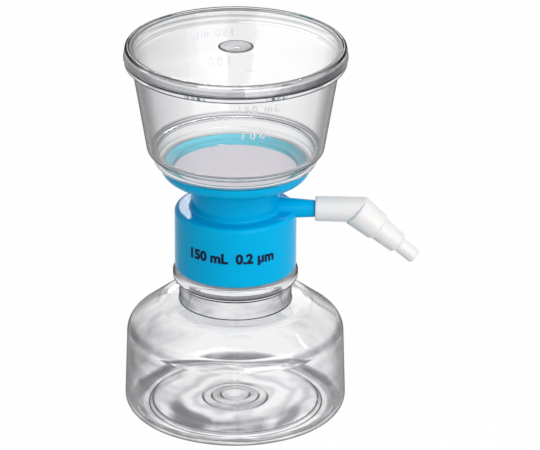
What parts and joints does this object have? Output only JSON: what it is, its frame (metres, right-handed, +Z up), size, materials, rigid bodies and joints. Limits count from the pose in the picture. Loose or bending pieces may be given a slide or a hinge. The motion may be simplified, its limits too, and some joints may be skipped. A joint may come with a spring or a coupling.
{
  "type": "vacuum filtration unit",
  "caption": "Clear filter funnel with lid over a white membrane, screwed by a blue adapter with a vacuum port and angled hose connector on a squat clear bottle.",
  "frame": {"origin": "centre of the bottle's standing ring, on the surface it stands on", "axes": "+Z up along the common axis of bottle, adapter and funnel; +X along the vacuum port, towards the hose connector"},
  "size_m": [0.1189, 0.0898, 0.1567],
  "materials": {
    "clear_bottle": "clear blow-moulded plastic, glossy",
    "clear_funnel": "clear moulded plastic, glossy",
    "clear_lid": "clear moulded plastic, glossy",
    "blue_adapter": "glossy cyan-blue moulded plastic",
    "white_connector": "satin white moulded plastic",
    "filter_membrane": "fine matt membrane",
    "seal_rubber": "translucent pale rubber",
    "fibre_plug": "white pressed fibre"
  },
  "bodies": {
    "receiver": {"receiver_bottle": "clear_bottle"},
    "seal": {"neck_seal": "seal_rubber"},
    "head": {"adapter": "blue_adapter", "membrane": "filter_membrane", "funnel": "clear_funnel", "port_filter": "fibre_plug"},
    "lid": {"lid": "clear_lid"},
    "connector": {"hose_connector": "white_connector"}
  },
  "joints": [
    {"name": "head_rise", "type": "slide", "parent": "receiver", "child": "seal", "axis": [0, 0, 1], "range_m": [0, 0.009]},
    {"name": "head_turn", "type": "hinge", "parent": "seal", "child": "head", "pos_m": [0, 0, 0.0835], "axis": [0, 0, 1], "range_deg": [0, 810]},
    {"name": "lid_lift", "type": "slide", "parent": "head", "child": "lid", "axis": [0, 0, 1], "range_m": [0, 0.06]},
    {"name": "connector_swivel", "type": "hinge", "parent": "head", "child": "connector", "pos_m": [0.032, 0, 0.0872], "axis": [1, 0, 0], "continuous": true}
  ],
  "couplings": [
    {"joint": "head_rise", "follows": "head_turn", "m_per_rad": 0.00063662}
  ]
}
